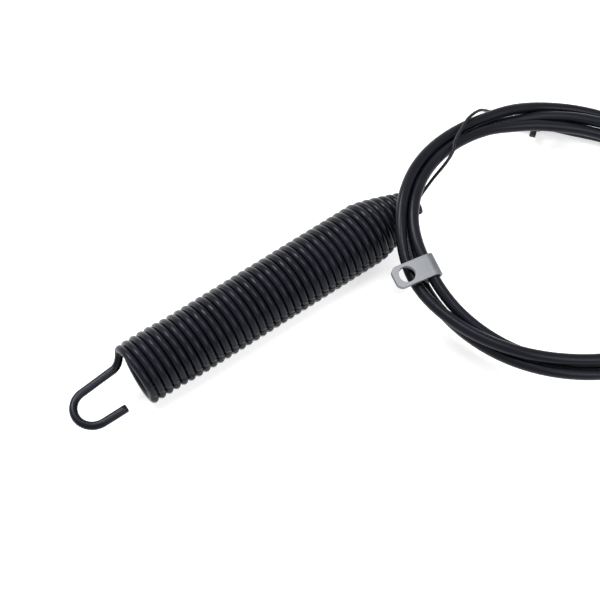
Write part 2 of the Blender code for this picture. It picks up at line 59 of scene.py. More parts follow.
# The coil's route, as the part's source has it: degrees clockwise from the top of the coil, then how far
# outside the oval and how far above the leaning bed, both in fifths of the conduit's diameter
LANES = (
    (0, 2.9, 1.5), (8, 1.3, 0.7), (15, 0.9, 0.2), (22, 0.9, 0.0), (32, -1.1, 0.0), (47, -4.0, 0.0),
    (62, -4.4, 0.0), (90, -3.8, 0.0), (135, -2.4, 0.0), (160, -1.9, 0.0), (180, -1.6, 0.0),
    (205, -2.5, 0.8), (225, -2.6, 3.4), (247, -2.9, 6.1), (270, -2.1, 5.3), (300, -2.9, 4.9),
    (330, -4.3, 4.3), (342, -5.2, 3.0), (352, -5.7, 2.8), (362, -6.1, 2.8), (372, -5.2, 2.2),
    (385, -3.2, 0.9), (400, 0.2, 0.0), (412, 1.8, 0.0), (450, 2.6, 0.0), (495, 3.3, 0.0),
    (520, 3.4, 0.4), (540, 3.4, 1.4), (565, 2.7, 0.5), (585, 1.6, -0.2), (607, 0.4, -0.8),
    (630, 0.6, 0.5), (650, 1.1, 0.7), (675, 0.9, 0.0), (692, 0.1, -0.2), (704, -0.5, 0.4),
    (712, -0.8, 1.8), (720, -1.1, 3.5), (730, -1.0, 4.8), (745, -0.1, 5.2), (765, 0.4, 5.3),
    (780, -0.2, 5.3), (810, -0.8, 5.2), (855, -0.9, 5.2), (900, -1.3, 5.3), (920, 0.5, 5.9),
    (945, 3.1, 4.8), (967, 4.4, 2.6), (990, 3.2, 5.1), (1010, 2.4, 5.7), (1035, 1.4, 5.4),
    (1052, 1.5, 5.0), (1064, 2.7, 4.7), (1072, 4.2, 3.0), (1080, 5.4, 1.6), (1090, 6.7, 0.5),
    (1105, 7.8, 0.0), (1120, 8.2, 0.2), (1140, 8.8, 0.8), (1155, 9.2, 1.1),
)
LAST_STATION = 1155
COIL_X = 0.0517
COIL_Y = 0.0075
COIL_HALF_LENGTH = 0.0698
COIL_HALF_WIDTH = 0.0635
COIL_TURN = 0.188
BED_LEFT_HEIGHT = 0.02275
BED_LEFT_X = -0.0179
BED_RIGHT_X = 0.1262
SPRING_STATION = 281
SPRING_SPREAD = 50
HUMP_HEIGHT = 0.00235
RISE_STATION = 85
RISE_SPREAD = 55
FALL_STATION = 1098
FALL_SPREAD = 52
HEADING_STEP = 6
STRAIGHT_START = 0.0106
STRAIGHT_END = 0.0440
START_HEADING = math.radians(163)

# Bare wire from the cone over the bundle and down to the end fitting, as the part's source has it
WIRE_ROUTE = (
    (-0.0089, 0.0294, 0.0165), (-0.0047, 0.0337, 0.0206), (0.0002, 0.0377, 0.0259), (0.0034, 0.0420, 0.0290),
    (0.0045, 0.0471, 0.0293), (0.0065, 0.0513, 0.0293), (0.0089, 0.0560, 0.0289), (0.0116, 0.0608, 0.0278),
    (0.0149, 0.0654, 0.0255), (0.0182, 0.0697, 0.0218), (0.0212, 0.0733, 0.0169), (0.0240, 0.0763, 0.0121),
    (0.0273, 0.0791, 0.0076),
)
WIRE_STRAIGHT_IN = 0.0016

# Spring, as the part's source has it
SPRING_HEADING = math.radians(35.4)
SPRING_AXIS = Vector((math.cos(SPRING_HEADING), math.sin(SPRING_HEADING), 0.0))
SPRING_ACROSS = Vector((-math.sin(SPRING_HEADING), math.cos(SPRING_HEADING), 0.0))
CONE_START_X = -0.0359
CONE_START_Y = 0.0081
HOOK_MOUTH = 0.0100
HOOK_OFFSET = -0.0019
HOOK_SHANK_RISE = 0.0013
HOOK_SHANK_START = 0.0068
HOOK_BEND_REACH = 0.0061
HOOK_BEND_TURN = math.radians(45)
CONE_BULGE = 1.25
END_TURNS = 7
END_SHIFT = 0.0006
SLOPE_STEP = 0.01

# The fitting's ears, as the part's source has them
EAR_FROM_END = 0.0032
EAR_WIDTH = 0.0030
EAR_THICKNESS = 0.0020

# Clip, as the part's source has it
CLIP_STATION = 247.3
CLIP_CLEARANCE = 0.0006
CLIP_HOLE_FROM_CONDUIT = 0.0108
CLIP_END_FROM_HOLE = 0.0060
CLIP_FOLD_RADIUS = 0.0009
STRAP_LAYER_GAP = 0.0001
CLIP_CORNER = 0.0030

# Details that only this script has: how far the wire runs inside its neighbours, cut ends, fits, crimps
WIRE_START_IN_CONE = 0.76
WIRE_PAST_MOUTH = 0.003
LEVER_WIRE_OVERLAP = 0.004
CUT_ROUNDING = 0.84
CUT_LENGTH = 0.00035
CUT_SHARE = 0.4
SOCKET_CLEARANCE = 0.0001
BORE_CLEARANCE = 0.0003
EAR_ROUNDING = 0.0004
WAIST_DEPTH = 0.0005
CRIMP_PLACES = (0.0074, 0.0042)
CRIMP_HALF_WIDTH = 0.0009
CRIMP_DEPTH = 0.00045
BARREL_HOLE_CLEARANCE = 0.0002
BARREL_HOLE_LENGTH = 0.0050
BARREL_HOLE_BACK = 0.0017
CLIP_HALF_REACH = 7.5

# Steps of this script's own curves
ROUTE_STEP = 3
STRAIGHT_STEPS = 6
WIRE_SPACING = 0.0006
LOBE_STEPS = 4
SPRING_SEGMENTS = 32
HOOK_LEG_STEPS = 5
HOOK_BOW_STEPS = 24
HOOK_BEND_STEPS = 16
CRIMP_STEPS = 6
CLIP_CORNER_STEPS = 8
CLIP_LOOP_STEPS = 36
CLIP_FOLD_STEPS = 8

# Finish of the black pieces, whose Specular Tint paints a cool tint of the light into their reflections, and
# the levels of the white surroundings
BLACK_SATIN_PAINTED_COOL_TINT = {"IOR": 1.50, "Specular IOR Level": 0.15, "Specular Tint": (0.86, 0.90, 1.0, 1.0)}
WHITE = (1.0, 1.0, 1.0, 1.0)
FLOOR_GLOW = {"From Min": 0.35, "From Max": 1.10, "To Min": 0.60, "To Max": 1.0}
WORLD_LIGHT = 0.24

# Camera: 62 degrees down, straight over the spring's and the coil's left part
CAMERA_PLACE = (-0.0643, -0.27584, 0.48658)
CAMERA_TARGET = (-0.0643, -0.0235, 0.0120)
CAMERA_LENS = 75.0


class CableSizes(bpy.types.PropertyGroup):
    """Sizes of the cable's pieces."""

    conduit_d: FloatProperty(name="Conduit", description="Outside of the jacket", default=0.0050,
                             unit="LENGTH")
    jacket_wall: FloatProperty(name="Jacket's wall", description="Plastic over the armour",
                               default=0.00045, unit="LENGTH")
    armour_wall: FloatProperty(name="Armour's wall", description="Wound steel under the jacket",
                               default=0.00040, unit="LENGTH")
    liner_wall: FloatProperty(name="Liner's wall", description="Plastic round the wire", default=0.00020,
                              unit="LENGTH")
    layer_gap: FloatProperty(name="Between layers", description="Room between the conduit's layers",
                             default=0.00020, unit="LENGTH")
    wire_d: FloatProperty(name="Inner wire", description="Over its strands", default=0.0015, unit="LENGTH")
    lay: FloatProperty(name="Lay", description="Length in which a strand goes round once", default=0.0090,
                       unit="LENGTH")
    strands: IntProperty(name="Strands", description="Strands that show round the wire", default=12)
    spring_wire_d: FloatProperty(name="Spring wire", description="Wire of the spring", default=0.0036,
                                 unit="LENGTH")
    spring_od: FloatProperty(name="Spring", description="Outside of the spring's body", default=0.0290,
                             unit="LENGTH")
    turns: IntProperty(name="Turns", description="Turns of the spring's body", default=33)
    pitch: FloatProperty(name="Pitch", description="From one turn to the next", default=0.0036, unit="LENGTH")
    cone_length: FloatProperty(name="Cone", description="Length of the spring's cone", default=0.0266,
                               unit="LENGTH")
    cone_tip_od: FloatProperty(name="Cone's tip", description="Outside of the last turn", default=0.0131,
                               unit="LENGTH")
    cone_turns: FloatProperty(name="Cone's turns", description="Turns of the cone", default=7.5)
    hook_width: FloatProperty(name="Hook", description="Clear width inside the hook", default=0.0129,
                              unit="LENGTH")
    hook_reach: FloatProperty(name="Hook's reach", description="From the spring's last turn to the bow",
                              default=0.0311, unit="LENGTH")
    fitting_d: FloatProperty(name="End fitting", description="Outside of the moulded fitting", default=0.0078,
                             unit="LENGTH")
    fitting_length: FloatProperty(name="End fitting's length", description="From face to face",
                                  default=0.0140, unit="LENGTH")
    fitting_socket: FloatProperty(name="End fitting's socket", description="How far the conduit goes in",
                                  default=0.0080, unit="LENGTH")
    ear_span: FloatProperty(name="Ears", description="Over both snap ears", default=0.0166, unit="LENGTH")
    ferrule_d: FloatProperty(name="Ferrule", description="Outside of the ferrule", default=0.0068,
                             unit="LENGTH")
    ferrule_length: FloatProperty(name="Ferrule's length", description="Without its nose", default=0.0120,
                                  unit="LENGTH")
    nose_d: FloatProperty(name="Nose", description="Outside of the ferrule's nose", default=0.0040,
                          unit="LENGTH")
    nose_length: FloatProperty(name="Nose's length", description="From the shoulder to the tip",
                               default=0.0040, unit="LENGTH")
    ferrule_socket: FloatProperty(name="Ferrule's socket", description="How far the conduit goes in",
                                  default=0.0100, unit="LENGTH")
    barrel_d: FloatProperty(name="Barrel", description="Barrel on the wire's end", default=0.0060,
                            unit="LENGTH")
    barrel_length: FloatProperty(name="Barrel's length", description="From end to end", default=0.0080,
                                 unit="LENGTH")
    wire_out: FloatProperty(name="Wire at the lever", description="From the nose to the barrel's middle",
                            default=0.0260, unit="LENGTH")
    strap_width: FloatProperty(name="Clip", description="Width of the clip's strip", default=0.0100,
                               unit="LENGTH")
    strap_thickness: FloatProperty(name="Clip's strip", description="Thickness of the clip's strip",
                                   default=0.0010, unit="LENGTH")
    clip_hole_d: FloatProperty(name="Clip's hole", description="Hole through both ends", default=0.0070,
                               unit="LENGTH")


class CableColours(bpy.types.PropertyGroup):
    """Colours of the cable's finishes."""

    spring: FloatVectorProperty(name="Spring", description="Black coating on the spring", subtype="COLOR",
                                size=3, min=0.0, max=1.0, default=(0.0036, 0.0040, 0.0066))
    jacket: FloatVectorProperty(name="Jacket", description="Black jacket of the conduit", subtype="COLOR",
                                size=3, min=0.0, max=1.0, default=(0.0034, 0.0038, 0.0062))


def linear(text):
    """Turn an sRGB hex colour into linear red, green and blue."""
    channels = []
    for index in (0, 2, 4):
        value = int(text[index:index + 2], 16) / 255
        channels.append(value / 12.92 if value <= 0.04045 else ((value + 0.055) / 1.055) ** 2.4)
    return tuple(channels)


def add_node(tree, kind, settings=None, inputs=None):
    """Add a node, set its properties, and give its inputs values or links."""
    node = tree.nodes.new(kind)
    for name, value in (settings or {}).items():
        setattr(node, name, value)
    for name, value in (inputs or {}).items():
        if isinstance(value, bpy.types.NodeSocket):
            tree.links.new(value, node.inputs[name])
        else:
            node.inputs[name].default_value = value
    return node


def new_material(name):
    material = bpy.data.materials.new(name)
    material.use_nodes = True
    material.node_tree.nodes.clear()
    return material, material.node_tree


def finish_material(tree, shader):
    add_node(tree, "ShaderNodeOutputMaterial", inputs={"Surface": shader.outputs[0]})


def grain(tree, size_mm, detail=2.0, stretch=(1.0, 1.0, 1.0)):
    """Noise on Object coordinates whose features are about so many millimetres wide."""
    place = add_node(tree, "ShaderNodeTexCoord")
    mapping = add_node(tree, "ShaderNodeMapping", inputs={"Vector": place.outputs["Object"],
                       "Scale": stretch})
    return add_node(tree, "ShaderNodeTexNoise", inputs={"Vector": mapping.outputs[0],
                    "Scale": 1000.0 / (size_mm * 2), "Detail": detail, "Roughness": 0.55})


def spread(tree, value, low, high, start=0.35, stop=0.65):
    """Take a noise's middle range to a range of its own."""
    return add_node(tree, "ShaderNodeMapRange", inputs={"Value": value, "From Min": start, "From Max": stop,
                    "To Min": low, "To Max": high}).outputs[0]


def tint(tree, factor, first, second):
    """Mix two colours by a factor."""
    mix = add_node(tree, "ShaderNodeMix", {"data_type": "RGBA"})
    tree.links.new(factor, mix.inputs[0])
    mix.inputs[6].default_value = (*first, 1.0)
    mix.inputs[7].default_value = (*second, 1.0)
    return mix.outputs[2]


def spring_material(colours):
    """Drawn spring steel wire with a baked black coating: satin, with soft dust-like scuffs on it."""
    material, tree = new_material("spring_steel_black_coated")
    fine = grain(tree, 0.35, 3.0)
    broad = grain(tree, 6.0, 3.0)
    base = tuple(colours.spring)
    colour = tint(tree, spread(tree, broad.outputs[0], 0.0, 1.0, 0.42, 0.75), base, linear("14151D"))
    bump = add_node(tree, "ShaderNodeBump", inputs={"Height": fine.outputs[0], "Strength": 0.12,
                    "Distance": 0.00003})
    # The black satin's Specular Tint paints a cool tint of the light into this wire's reflections
    shader = add_node(tree, "ShaderNodeBsdfPrincipled", inputs={
        "Base Color": colour, "Roughness": spread(tree, broad.outputs[0], 0.24, 0.33),
        "Normal": bump.outputs[0], **BLACK_SATIN_PAINTED_COOL_TINT})
    finish_material(tree, shader)
    return material


def jacket_material(colours):
    """Extruded black plastic jacket: an even satin with the faint waviness of extrusion."""
    material, tree = new_material("jacket_pvc_extruded")
    fine = grain(tree, 0.25, 2.0)
    broad = grain(tree, 9.0, 3.0)
    colour = tint(tree, spread(tree, broad.outputs[0], 0.0, 1.0, 0.45, 0.8), tuple(colours.jacket),
                  linear("13141C"))
    bump = add_node(tree, "ShaderNodeBump", inputs={"Height": fine.outputs[0], "Strength": 0.10,
                    "Distance": 0.00002})
    # The black satin's Specular Tint paints a cool tint of the light into this jacket's reflections
    shader = add_node(tree, "ShaderNodeBsdfPrincipled", inputs={
        "Base Color": colour, "Roughness": spread(tree, broad.outputs[0], 0.28, 0.36),
        "Normal": bump.outputs[0], **BLACK_SATIN_PAINTED_COOL_TINT})
    finish_material(tree, shader)
    return material


def strand_material():
    """Oiled steel strands, darkened: dull metal whose crowns catch the light."""
    material, tree = new_material("steel_strands_oiled")
    fine = grain(tree, 0.2, 2.0)
    colour = tint(tree, spread(tree, fine.outputs[0], 0.0, 1.0), linear("1E1F22"), linear("36373B"))
    shader = add_node(tree, "ShaderNodeBsdfPrincipled", inputs={
        "Base Color": colour, "Metallic": 0.85, "Roughness": spread(tree, fine.outputs[0], 0.34, 0.48)})
    finish_material(tree, shader)
    return material


def zinc_material(name, pale, dark, low, high):
    """Zinc-plated steel strip or turned part: pale satin metal with a fine crystalline mottle."""
    material, tree = new_material(name)
    mottle = grain(tree, 0.8, 4.0)
    fine = grain(tree, 0.12, 2.0)
    colour = tint(tree, spread(tree, mottle.outputs[0], 0.0, 1.0), linear(dark), linear(pale))
    bump = add_node(tree, "ShaderNodeBump", inputs={"Height": fine.outputs[0], "Strength": 0.15,
                    "Distance": 0.00002})
    shader = add_node(tree, "ShaderNodeBsdfPrincipled", inputs={
        "Base Color": colour, "Metallic": 1.0, "Roughness": spread(tree, mottle.outputs[0], low, high),
        "Normal": bump.outputs[0]})
    finish_material(tree, shader)
    return material


def moulded_material():
    """Injection-moulded black nylon: a matt spark-eroded grain."""
    material, tree = new_material("nylon_moulded_black")
    fine = grain(tree, 0.18, 2.0)
    bump = add_node(tree, "ShaderNodeBump", inputs={"Height": fine.outputs[0], "Strength": 0.25,
                    "Distance": 0.00004})
    shader = add_node(tree, "ShaderNodeBsdfPrincipled", inputs={
        "Base Color": tint(tree, fine.outputs[0], linear("0F1012"), linear("1A1B1E")),
        "Roughness": spread(tree, fine.outputs[0], 0.42, 0.55), "Normal": bump.outputs[0], "IOR": 1.53})
    finish_material(tree, shader)
    return material


def liner_material():
    """Extruded white polythene: smooth and slightly waxy."""
    material, tree = new_material("liner_polythene_extruded")
    fine = grain(tree, 0.5, 2.0)
    shader = add_node(tree, "ShaderNodeBsdfPrincipled", inputs={
        "Base Color": tint(tree, fine.outputs[0], linear("DEDCD2"), linear("EAE8E0")),
        "Roughness": spread(tree, fine.outputs[0], 0.34, 0.42)})
    finish_material(tree, shader)
    return material


def get_material(name, make, *values):
    found = bpy.data.materials.get(name)
    return found if found else make(*values)


def turned_steel():
    name = "steel_turned_zinc_plated"
    return get_material(name, zinc_material, name, "B4B7BC", "8F9298", 0.26, 0.36)


def ease(value):
    value = min(max(value, 0.0), 1.0)
    return value * value * (3.0 - 2.0 * value)


def hermite(keys, at):
    """Smooth value through a table whose rows start with their own position."""
    last = len(keys) - 1
    index = 0
    while index < last - 1 and at > keys[index + 1][0]:
        index += 1

    def slope(i, column):
        low = keys[max(i - 1, 0)]
        high = keys[min(i + 1, last)]
        return (high[column] - low[column]) / (high[0] - low[0])

    start = keys[index]
    stop = keys[index + 1]
    span = stop[0] - start[0]
    t = (at - start[0]) / span
    values = []
    for column in range(1, len(start)):
        value = (2 * t**3 - 3 * t**2 + 1) * start[column] + (3 * t**2 - 2 * t**3) * stop[column]
        value += (t**3 - 2 * t**2 + t) * span * slope(index, column)
        value += (t**3 - t**2) * span * slope(index + 1, column)
        values.append(value)
    return values


def coil_point(sizes, degrees):
    """A point on the conduit's middle line, so many degrees clockwise from the top of the first turn."""
    outside, above = (value * sizes.conduit_d / 5 for value in hermite(LANES, degrees))
    t = math.radians(90.0 - degrees) - COIL_TURN
    cos_turn = math.cos(COIL_TURN)
    sin_turn = math.sin(COIL_TURN)
    along = COIL_HALF_LENGTH * math.cos(t)
    aside = COIL_HALF_WIDTH * math.sin(t)
    normal = Vector((math.cos(t) / COIL_HALF_LENGTH, math.sin(t) / COIL_HALF_WIDTH)).normalized()
    x = COIL_X + cos_turn * along - sin_turn * aside
    x += outside * (cos_turn * normal.x - sin_turn * normal.y)
    y = COIL_Y + sin_turn * along + cos_turn * aside
    y += outside * (sin_turn * normal.x + cos_turn * normal.y)
    floor = sizes.conduit_d / 2
    lean = (BED_LEFT_HEIGHT - floor) / (BED_RIGHT_X - BED_LEFT_X)
    bed = lean * max(BED_RIGHT_X - x, 0.0)
    rise = ease((degrees - RISE_STATION) / RISE_SPREAD)
    lift = rise * (1.0 - ease((degrees - FALL_STATION) / FALL_SPREAD))
    past_spring = (degrees % 360 - SPRING_STATION) / SPRING_SPREAD
    hump = HUMP_HEIGHT * ease(1.0 - abs(past_spring))
    return Vector((x, y, floor + bed * lift + hump + above))


def fitting_heading():
    return Vector((math.cos(START_HEADING), math.sin(START_HEADING), 0.0))


def lever_heading(sizes):
    heading = coil_point(sizes, LAST_STATION) - coil_point(sizes, LAST_STATION - HEADING_STEP)
    heading.z = 0.0
    return heading.normalized()


def conduit_ends(sizes):
    start = coil_point(sizes, 0) + fitting_heading() * STRAIGHT_START
    end = coil_point(sizes, LAST_STATION) + lever_heading(sizes) * STRAIGHT_END
    return start, end


def conduit_points(sizes):
    """The conduit's middle line, close enough together for smooth turns."""
    start, end = conduit_ends(sizes)
    middle = [coil_point(sizes, angle) for angle in range(0, LAST_STATION + 1, ROUTE_STEP)]
    straight = [middle[-1].lerp(end, share / STRAIGHT_STEPS) for share in range(1, STRAIGHT_STEPS + 1)]
    return [start, start.lerp(middle[0], 0.5), *middle, *straight]


def spring_point(sizes, along, across=0.0, height=0.0):
    """A point from distances along the spring from the start of its cone, across it and above its axis."""
    start = Vector((CONE_START_X, CONE_START_Y, sizes.spring_od / 2))
    return start + SPRING_AXIS * along + SPRING_ACROSS * across + UP * height


def place_matrix(origin, axis, side):
    """Local X runs along the axis and local Y to the side."""
    x = axis.normalized()
    z = x.cross(side).normalized()
    y = z.cross(x)
    return Matrix.Translation(origin) @ Matrix((x, y, z)).transposed().to_4x4()


def mesh_piece(name, bm, material):
    """An object from a bmesh, which is freed."""
    mesh = bpy.data.meshes.new(name)
    bm.to_mesh(mesh)
    bm.free()
    return link(name, mesh, material)


def link(name, data, material):
    obj = bpy.data.objects.new(name, data)
    bpy.context.scene.collection.objects.link(obj)
    data.materials.clear()
    data.materials.append(material)
    return obj


def shade(obj, angle=35):
    obj.data.shade_smooth()
    obj.data.set_sharp_from_angle(angle=math.radians(angle))


def baked(obj, name):
    """A mesh object with the modifiers or the curve of another one applied, which it takes the place of."""
    bpy.context.view_layer.update()
    graph = bpy.context.evaluated_depsgraph_get()
    mesh = bpy.data.meshes.new_from_object(obj.evaluated_get(graph), depsgraph=graph)
    mesh.transform(obj.matrix_world)
    material = obj.data.materials[0]
    bpy.data.objects.remove(obj, do_unlink=True)
    mesh.name = name
    return link(name, mesh, material)


def line_curve(name, points, radius, sides, material, radii=None):
    """A round tube along points, as a curve."""
    curve = bpy.data.curves.new(name, "CURVE")
    curve.dimensions = "3D"
    curve.bevel_depth = radius
    curve.bevel_resolution = (sides - 4) // 2
    curve.use_fill_caps = True
    curve.twist_mode = "Z_UP"
    spline = curve.splines.new("POLY")
    spline.points.add(len(points) - 1)
    for index, place in enumerate(points):
        spline.points[index].co = (*place, 1.0)
        spline.points[index].radius = radii[index] if radii else 1.0
    spline.use_smooth = True
    return link(name, curve, material)


def hollow_tube(name, points, radius, wall, material):
    """An open tube whose ends show the ring of its wall."""
    tube = line_curve(name, points, radius, 12, material)
    tube.data.use_fill_caps = False
    thicken = tube.modifiers.new("wall", "SOLIDIFY")
    thicken.thickness = wall
    thicken.offset = -1.0
    tube = baked(tube, name)
    shade(tube)
    return tube


def even_points(keys, spacing):
    """Points at an even spacing on a smooth curve through key points."""
    lengths = [0.0]
    for low, high in zip(keys, keys[1:]):
        lengths.append(lengths[-1] + (high - low).length)
    table = [(length, *key) for length, key in zip(lengths, keys)]
    count = max(round(lengths[-1] / spacing), 1)
    return [Vector(hermite(table, lengths[-1] * step / count)) for step in range(count + 1)]


def stranded(name, points, sizes, material):
    """A wire of laid strands: a lobed section that turns as it goes along."""
    radius = sizes.wire_d / 2
    strand = radius / 5
    outline = bpy.data.curves.new(name + "_section", "CURVE")
    outline.dimensions = "2D"
    ring = outline.splines.new("POLY")
    ring.points.add(sizes.strands * LOBE_STEPS - 1)
    ring.use_cyclic_u = True
    lobe = 2 * math.pi / sizes.strands
    for index in range(sizes.strands * LOBE_STEPS):
        offset = ((index % LOBE_STEPS) / LOBE_STEPS - 0.5) * lobe
        angle = (index // LOBE_STEPS) * lobe + offset
        inside = max(strand**2 - (4 * strand * math.sin(offset))**2, 0.0)
        reach = 4 * strand * math.cos(offset) + math.sqrt(inside)
        ring.points[index].co = (reach * math.cos(angle), reach * math.sin(angle), 0.0, 1.0)
    section = link(name + "_section", outline, material)
    wire = line_curve(name + "_line", points, radius, 8, material)
    wire.data.bevel_mode = "OBJECT"
    wire.data.bevel_object = section
    travelled = 0.0
    spline = wire.data.splines[0]
    for index, place in enumerate(points):
        if index:
            travelled += (place - points[index - 1]).length
        spline.points[index].tilt = 2 * math.pi * travelled / sizes.lay
    piece = baked(wire, name)
    bpy.data.objects.remove(section, do_unlink=True)
    shade(piece, 60)
    return piece


def turned(name, profile, origin, axis, side, material, segments=48):
    """A turned piece about its own X from (along, radius) points.

    A profile whose ends are on the axis makes a solid piece, and any other one is closed into a ring.
    """
    bm = bmesh.new()
    line = [bm.verts.new((along, radius, 0.0)) for along, radius in profile]
    edges = [bm.edges.new(pair) for pair in zip(line, line[1:])]
    if profile[0][1] > 0.0:
        edges.append(bm.edges.new((line[-1], line[0])))
    bmesh.ops.spin(bm, geom=line + edges, cent=(0, 0, 0), axis=(1, 0, 0), angle=2 * math.pi,
                   steps=segments, use_merge=True)
    bmesh.ops.remove_doubles(bm, verts=bm.verts, dist=1e-7)
    bmesh.ops.recalc_face_normals(bm, faces=bm.faces)
    bm.transform(place_matrix(origin, axis, side))
    obj = mesh_piece(name, bm, material)
    shade(obj)
    return obj


def block(name, size, origin, axis, side, material, soften=0.0):
    bm = bmesh.new()
    bmesh.ops.create_cube(bm, size=1.0)
    bmesh.ops.scale(bm, vec=size, verts=bm.verts)
    if soften:
        bmesh.ops.bevel(bm, geom=bm.edges, offset=soften, offset_type="OFFSET", segments=3, profile=0.5,
                        affect="EDGES", material=-1)
    bm.transform(place_matrix(origin, axis, side))
    return mesh_piece(name, bm, material)


def rod(name, radius, length, origin, axis, side, material, segments=48):
    bm = bmesh.new()
    bmesh.ops.create_cone(bm, cap_ends=True, segments=segments, radius1=radius, radius2=radius, depth=length)
    bmesh.ops.rotate(bm, cent=(0, 0, 0), matrix=Matrix.Rotation(math.pi / 2, 3, "Y"), verts=bm.verts)
    bm.transform(place_matrix(origin, axis, side))
    return mesh_piece(name, bm, material)


def combine(obj, other, operation):
    """Join or cut with another object, which is used up."""
    modifier = obj.modifiers.new(operation.lower(), "BOOLEAN")
    modifier.operation = operation
    modifier.object = other
    modifier.solver = "EXACT"
    joined = baked(obj, obj.name)
    bpy.data.objects.remove(other, do_unlink=True)
    return joined


def soften_edges(obj, width, angle=30, segments=2):
    modifier = obj.modifiers.new("edge_break", "BEVEL")
    modifier.width = width
    modifier.segments = segments
    modifier.limit_method = "ANGLE"
    modifier.angle_limit = math.radians(angle)
    modifier.harden_normals = True
    shade(obj)


class CABLE_OT_conduit(bpy.types.Operator):
    """Make the conduit's jacket, armour and liner along its three turns"""

    bl_idname = "cable.conduit"
    bl_label = "Conduit"

    def execute(self, context):
        sizes = context.scene.cable_sizes
        material = get_material("jacket_pvc_extruded", jacket_material, context.scene.cable_colours)
        jacket = line_curve("conduit", conduit_points(sizes), sizes.conduit_d / 2, 20, material)
        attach(jacket, "conduit")
        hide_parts("conduit_jacket")
        steel = get_material("steel_strip_wound_bare", zinc_material, "steel_strip_wound_bare", "9DA0A6",
                             "7C7F85", 0.30, 0.42)
        white = get_material("liner_polythene_extruded", liner_material)
        radius = sizes.conduit_d / 2 - sizes.jacket_wall - sizes.layer_gap
        for name, wall, finish, slot in (("armour", sizes.armour_wall, steel, "wound_armour"),
                                         ("liner", sizes.liner_wall, white, "white_liner")):
            layer = hollow_tube(name, conduit_points(sizes), radius, wall, finish)
            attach(layer, "conduit")
            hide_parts("conduit_" + name)
            radius -= wall + sizes.layer_gap
        return {"FINISHED"}


def spring_line(sizes, segments):
    """Middle of the spring's wire from the cut end of the hook to the tip of the cone."""
    body = sizes.turns * sizes.pitch
    mean = (sizes.spring_od - sizes.spring_wire_d) / 2
    tip = (sizes.cone_tip_od - sizes.spring_wire_d) / 2
    half = (sizes.hook_width + sizes.spring_wire_d) / 2
    bow = -body - sizes.hook_reach + half + sizes.spring_wire_d / 2

    def helix(turn):
        share = max(turn - sizes.turns, 0.0) / sizes.cone_turns
        along = sizes.cone_length * share if share > 0.0 else turn * sizes.pitch - body
        radius = mean + (tip - mean) * share**CONE_BULGE
        shift = END_SHIFT * ease((END_TURNS - turn) * 2 / END_TURNS)
        angle = 2 * math.pi * turn
        return Vector((along, shift + radius * math.cos(angle), radius * math.sin(angle)))

    low = HOOK_OFFSET - half
    cut = -body - HOOK_MOUTH
    points = [Vector((cut, low, 0.0)), Vector((cut - CUT_LENGTH, low, 0.0))]
    points += [Vector((cut + (bow - cut) * share / HOOK_LEG_STEPS, low, 0.0))
               for share in range(1, HOOK_LEG_STEPS)]
    for step in range(HOOK_BOW_STEPS + 1):
        angle = -math.pi / 2 - math.pi * step / HOOK_BOW_STEPS
        points.append(Vector((bow + half * math.cos(angle), HOOK_OFFSET + half * math.sin(angle), 0.0)))
    start = Vector((-body - HOOK_SHANK_START, HOOK_OFFSET + half + HOOK_SHANK_RISE, 0.0))
    stop = helix(HOOK_BEND_TURN / (2 * math.pi))
    slope = (helix(HOOK_BEND_TURN / (2 * math.pi) + SLOPE_STEP) - stop).normalized()
    first = start + Vector((HOOK_BEND_REACH, 0.0, 0.0))
    second = stop - slope * HOOK_BEND_REACH
    points.append(points[-1].lerp(start, 0.5))
    for step in range(HOOK_BEND_STEPS):
        t = step / HOOK_BEND_STEPS
        place = start * (1 - t)**3 + first * 3 * t * (1 - t)**2
        points.append(place + second * 3 * t * t * (1 - t) + stop * t**3)
    first_step = math.ceil(HOOK_BEND_TURN / (2 * math.pi) * segments)
    for step in range(first_step, round((sizes.turns + sizes.cone_turns) * segments) + 1):
        points.append(helix(step / segments))
    return [spring_point(sizes, *point) for point in points]


class CABLE_OT_spring(bpy.types.Operator):
    """Wind the spring with its cone and its hook from one wire"""

    bl_idname = "cable.spring"
    bl_label = "Spring"

    def execute(self, context):
        sizes = context.scene.cable_sizes
        material = get_material("spring_steel_black_coated", spring_material, context.scene.cable_colours)
        points = spring_line(sizes, SPRING_SEGMENTS)
        radii = [1.0] * len(points)
        radii[0] = CUT_ROUNDING
        radii[-1] = CUT_ROUNDING
        points.insert(-1, points[-1].lerp(points[-2], CUT_SHARE))
        radii.insert(-1, 1.0)
        wire = line_curve("spring_line", points, sizes.spring_wire_d / 2, 14, material, radii)
        spring = baked(wire, "spring")
        shade(spring, 40)
        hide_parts("tension_spring")
        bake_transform(spring)
        return {"FINISHED"}


class CABLE_OT_wires(bpy.types.Operator):
    """Lay the bare wire over the bundle, and its straight end at the lever"""

    bl_idname = "cable.wires"
    bl_label = "Inner wire"

    def execute(self, context):
        sizes = context.scene.cable_sizes
        material = get_material("steel_strands_oiled", strand_material)
        start, end = conduit_ends(sizes)
        heading = fitting_heading()
        mouth = start + heading * (sizes.fitting_length - sizes.fitting_socket)
        tip = spring_point(sizes, sizes.cone_length + sizes.spring_wire_d / 2)
        inside = spring_point(sizes, sizes.cone_length * WIRE_START_IN_CONE)
        keys = [inside, tip] + [Vector(place) for place in WIRE_ROUTE]
        keys += [mouth + heading * WIRE_STRAIGHT_IN, mouth - heading * WIRE_PAST_MOUTH]
        points = even_points(keys, WIRE_SPACING)
        bare = stranded("bare_wire", points, sizes, material)
        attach(bare, "conduit")
        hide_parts("inner_wire")
        heading = lever_heading(sizes)
        front = end + heading * (sizes.ferrule_length + sizes.nose_length - sizes.ferrule_socket)
        low = end - heading * (STRAIGHT_END - LEVER_WIRE_OVERLAP)
        high = front + heading * sizes.wire_out
        count = round((high - low).length / WIRE_SPACING)
        lever = stranded("lever_wire", [low.lerp(high, step / count) for step in range(count + 1)], sizes,
                         material)
        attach(lever, "lever_wire")
        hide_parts("inner_wire_lever_end")
        return {"FINISHED"}


